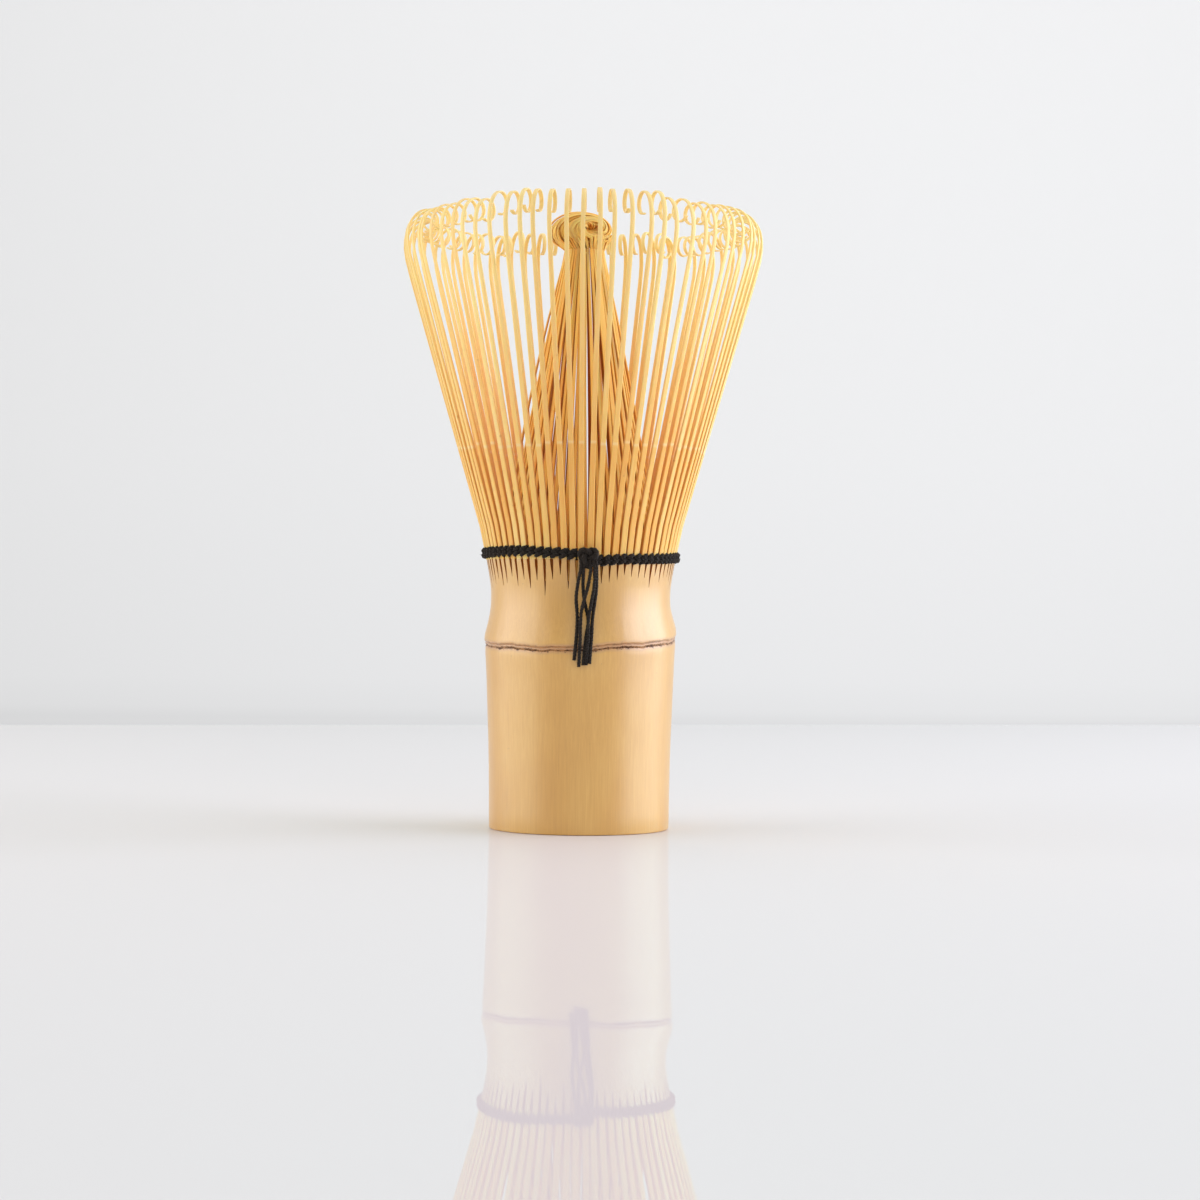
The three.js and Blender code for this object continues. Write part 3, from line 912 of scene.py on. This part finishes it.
# ---- The thread -------------------------------------------------------------------------------------------
# Black cotton. Two doubled ends are twined round the feet of the outer tines, one passing in front of each
# tine while the other passes behind, and are tied in front. It keeps the tines apart and stops the slits.
YARN = 0.76 * MM
PLY_TURN = 1.9 * MM
STITCH_RISE = 0.26 * MM
BAND_START = math.radians(-81)
BAND_END = math.radians(268)
BAND_STEPS = 360
# The height of the row of stitches on its way round, since it was pushed down by hand: degrees and height.
BAND_WAY = [
    (-81, 45.35), (-60, 45.75), (0, 46.2), (90, 46.5), (180, 46.7), (235, 46.95), (252, 46.65), (268, 46.4)
]


def band_height(azimuth):
    degrees = math.degrees(azimuth)
    for (from_degrees, low), (to_degrees, high) in zip(BAND_WAY, BAND_WAY[1:]):
        if degrees <= to_degrees:
            return (low + (high - low) * eased((degrees - from_degrees) / (to_degrees - from_degrees))) * MM
    return BAND_WAY[-1][1] * MM


# Three plies lie round each other in the yarn, so its section has three lobes and turns as it goes.
PLY_SECTION = [
    (0.5 * (1 + 0.1 * math.cos(3 * a)) * math.cos(a), 0.5 * (1 + 0.1 * math.cos(3 * a)) * math.sin(a))
    for a in (math.tau * i / 9 for i in range(9))
]


def yarn_run(line, thickness, ply_turn):
    """Stations along a yarn that turns on itself once in every ply_turn."""
    run = []
    length = 0.0
    side = None
    for i, middle in enumerate(line):
        ahead = (line[min(i + 1, len(line) - 1)] - line[max(i - 1, 0)]).normalized()
        if side is None:
            side = ahead.orthogonal().normalized()
        side = (side - ahead * side.dot(ahead)).normalized()
        if i:
            length += (middle - line[i - 1]).length
        twist = math.tau * length / ply_turn
        turned = Matrix.Rotation(twist, 3, ahead) @ side
        run.append((middle, ahead.cross(turned), turned, thickness, thickness, length, 0.5))
    return run


cotton, shade, surface = new_finish("black_cotton", Roughness=0.85, Sheen_Weight=0.08, Sheen_Roughness=0.5)
surface.inputs["Specular IOR Level"].default_value = 0.25
where = shade.node("ShaderNodeTexCoord", output="Object")
lint = noise(shade, where, 5000, 3, 0.7)
feed(surface, "Base Color", ramped(shade, lint, (0.35, colour(14, 11, 9)), (0.65, colour(52, 42, 34))))
roughen(shade, surface, lint, 0.4, 0.05 * MM)

HAIR_SECTION = [(0.5, 0.0), (-0.25, 0.43), (-0.25, -0.43)]
rng = random.Random(3)


def with_lint(piece, lines, count, reach):
    """Joins fine loose hairs to a yarn. Each starts inside it and curls away, up to reach millimetres."""
    hairs = []
    for _ in range(count):
        line = rng.choice(lines)
        root = line[rng.randrange(1, len(line) - 1)]
        direction = Vector((rng.gauss(0, 1), rng.gauss(0, 1), rng.gauss(0, 1))).normalized()
        curl = Vector((rng.gauss(0, 1), rng.gauss(0, 1), rng.gauss(0, 1))) * 0.5
        reached = root + direction * (0.25 * MM)
        length = rng.uniform(0.3, 1) * reach * MM
        run = []
        for step in range(5):
            side = direction.orthogonal().normalized()
            thickness = (0.045 - 0.007 * step) * MM
            run.append((reached, direction.cross(side), side, thickness, thickness, length * step, 0.5))
            direction = (direction + curl * 0.5).normalized()
            reached = reached + direction * (length / 4)
        hairs.append(run)
    lint_piece = swept("lint", hairs, HAIR_SECTION)
    only(piece)
    lint_piece.select_set(True)
    bpy.ops.object.join()
    return bpy.context.object


band_lines = []
band_runs = []
for strand in (0, 1):
    for yarn in (-1, 1):
        line = []
        for step in range(BAND_STEPS + 1):
            azimuth = BAND_START + (BAND_END - BAND_START) * step / BAND_STEPS
            phase = math.pi * (azimuth - TINE_TURN) / PITCH + strand * math.pi
            height = band_height(azimuth)
            middle = face_radius(height) - 0.38 * MM
            across = math.cos(phase)
            radius = middle + 0.74 * MM * math.copysign(abs(across) ** 0.6, across)
            rise = STITCH_RISE * math.sin(phase) + yarn * YARN * 0.5
            line.append(Vector((radius * math.cos(azimuth), radius * math.sin(azimuth), height + rise)))
        band_lines.append(line)
        band_runs.append(yarn_run(line, YARN * rng.uniform(0.97, 1.08), PLY_TURN))
thread_band = swept("thread_band", band_runs, PLY_SECTION)
thread_band = with_lint(thread_band, band_lines, 420, 0.8)
thread_band.data.materials.append(cotton)
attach(thread_band, "culm")
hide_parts("thread_wrap_outer", "thread_wrap_inner")

# The knot is pulled tight, so the yarn runs over itself three times in a flat lump.
KNOT_YARN = 0.85 * MM
KNOT_PLY_TURN = 2.2 * MM
knot_middle = Vector((1.3 * MM, -(face_radius(46 * MM) + 1.0 * MM), 45.95 * MM))
knot_runs = []
knot_lines = []
for offset in (-0.2, 0.25):
    line = []
    for step in range(97):
        t = math.tau * step / 96
        right = (math.sin(t) + 2 * math.sin(2 * t)) * 0.5
        back = -0.42 * math.sin(3 * t) - offset
        rise = (math.cos(t) - 2 * math.cos(2 * t)) * 0.47 + offset * 0.8
        line.append(knot_middle + Vector((right, back, rise)) * MM)
    knot_lines.append(line)
    knot_runs.append(yarn_run(line, KNOT_YARN, KNOT_PLY_TURN))
thread_knot = swept("tied_knot", knot_runs, PLY_SECTION)
thread_knot = with_lint(thread_knot, knot_lines, 60, 0.9)
thread_knot.data.materials.append(cotton)
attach(thread_knot, "culm")
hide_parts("thread_knot")

# The cut ends hang over the joint of the culm. Each has its way from the knot down: how far right it is at
# each of the heights and at its end, whether it lies over the others, and the height of its end.
TAIL_THICKNESS = 0.6 * MM
TAIL_HEIGHTS = (45.4, 44.1, 41.4, 39.1, 37.1, 35.3, 33.1, 30.7)
TAIL_DEPTHS = (17.7, 17.6, 17.2, 16.95, 16.8, 16.75, 16.75, 16.65, 16.5)
TAIL_WAYS = [
    ((0.11, 0.11, -0.38, -0.62, -0.46, -0.41, -0.51, -0.71, -0.9), 0, 28.95),
    ((0.57, 0.53, 0.48, 0.69, 1.1, 1.4, 1.1, 0.85, 0.62), 0, 28.15),
    ((1.43, 1.76, 1.35, 0.77, 0.28, 0.13, 0.08, 0.03, -0.13), 1, 27.9),
    ((2.09, 2.41, 2.35, 2.0, 1.65, 1.4, 1.45, 1.25, 1.12), 1, 28.2),
    ((2.58, 2.71, 2.72, 2.52, 2.25, 2.05, 1.98, 1.8, 1.65), 0, 28.4),
]
for number, (across, layer, end) in enumerate(TAIL_WAYS, 1):
    heights = TAIL_HEIGHTS + (end,)
    points = []
    for i, (x, height, depth) in enumerate(zip(across, heights, TAIL_DEPTHS)):
        crossing = 0.55 * layer * math.sin(math.pi * i / 8)
        points.append(Vector((x, -depth - crossing, height)) * MM)
    line = smooth_line(points, 6)
    tail = swept(f"thread_end_{number}", [yarn_run(line, TAIL_THICKNESS, PLY_TURN)], PLY_SECTION)
    tail = with_lint(tail, [line], 26, 0.4)
    tail.data.materials.append(cotton)
    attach(tail, "culm")
    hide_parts(f"thread_tail_{number:02d}")
